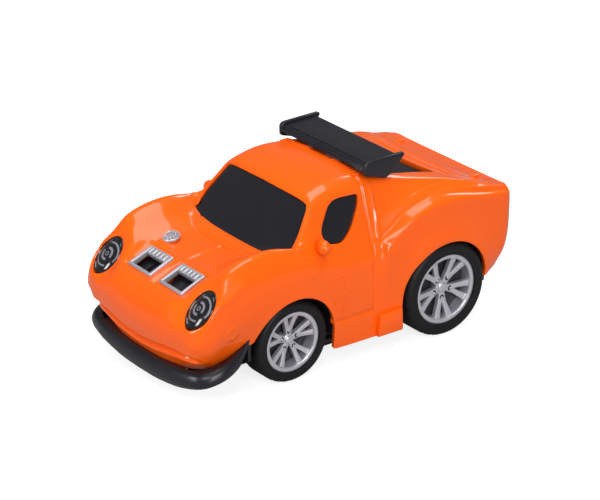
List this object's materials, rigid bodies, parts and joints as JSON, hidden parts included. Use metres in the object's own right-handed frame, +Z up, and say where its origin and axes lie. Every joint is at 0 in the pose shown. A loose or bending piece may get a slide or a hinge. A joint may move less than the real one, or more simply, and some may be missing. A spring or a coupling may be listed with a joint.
{
  "type": "pull back toy car",
  "caption": "Small die-cast style sports coupe toy with free-rolling front wheels, a rear wing and a sprung pull-back motor geared to the rear axle.",
  "frame": {"origin": "on the ground under the centre of the bounding box", "axes": "+X towards the car's left side, +Y towards the tail, +Z up"},
  "size_m": [0.0434, 0.0867, 0.0428],
  "materials": {
    "orange_paint": "gloss",
    "smoked_window": "gloss",
    "lamp_black": "gloss",
    "bright_plating": "polished",
    "black_plastic": "satin",
    "red_lens": "gloss",
    "silver_rim": "silver painted",
    "tyre_rubber": "matt",
    "gear_plastic": "natural",
    "case_plastic": "matt",
    "steel": "drawn"
  },
  "bodies": {
    "car": {"body_shell": "orange_paint", "window_glazing": "smoked_window", "headlight_left": "lamp_black", "headlight_right": "lamp_black", "hood_vent_left": "bright_plating", "hood_vent_right": "bright_plating", "hood_badge": "bright_plating", "rear_wing": "black_plastic", "engine_louvre": "black_plastic", "chassis": "black_plastic", "tail_light_left": "red_lens", "tail_light_right": "red_lens", "motor_case_left": "case_plastic", "motor_case_right": "case_plastic", "spring_arbor": "steel", "body_screws": "steel"},
    "front_wheelset": {"front_axle": "steel", "front_rim_left": "silver_rim", "front_rim_right": "silver_rim", "front_tyre_left": "tyre_rubber", "front_tyre_right": "tyre_rubber"},
    "rear_wheelset": {"rear_axle": "steel", "rear_rim_left": "silver_rim", "rear_rim_right": "silver_rim", "rear_tyre_left": "tyre_rubber", "rear_tyre_right": "tyre_rubber", "axle_pinion": "gear_plastic"},
    "spring_drum": {"spring_gear": "gear_plastic", "mainspring": "steel"},
    "clutch_shaft": {"clutch_arbor": "steel"},
    "clutch_wheel": {"clutch_gear": "gear_plastic"}
  },
  "joints": [
    {"name": "front_spin", "type": "hinge", "parent": "car", "child": "front_wheelset", "pos_m": [0, -0.0167, 0.00918], "axis": [1, 0, 0], "continuous": true},
    {"name": "rear_spin", "type": "hinge", "parent": "car", "child": "rear_wheelset", "pos_m": [0, 0.0233, 0.01083], "axis": [1, 0, 0], "continuous": true},
    {"name": "drum_spin", "type": "hinge", "parent": "car", "child": "spring_drum", "pos_m": [0, 0.0073, 0.0134], "axis": [1, 0, 0], "continuous": true},
    {"name": "clutch_shift", "type": "slide", "parent": "car", "child": "clutch_shaft", "axis": [1, 0, 0], "range_m": [0, 0.0026]},
    {"name": "clutch_spin", "type": "hinge", "parent": "clutch_shaft", "child": "clutch_wheel", "pos_m": [0, 0.01687, 0.01796], "axis": [1, 0, 0], "continuous": true}
  ],
  "couplings": [
    {"joint": "clutch_spin", "follows": "rear_spin", "ratio": -0.46154},
    {"joint": "drum_spin", "follows": "rear_spin", "ratio": 0.18462}
  ]
}
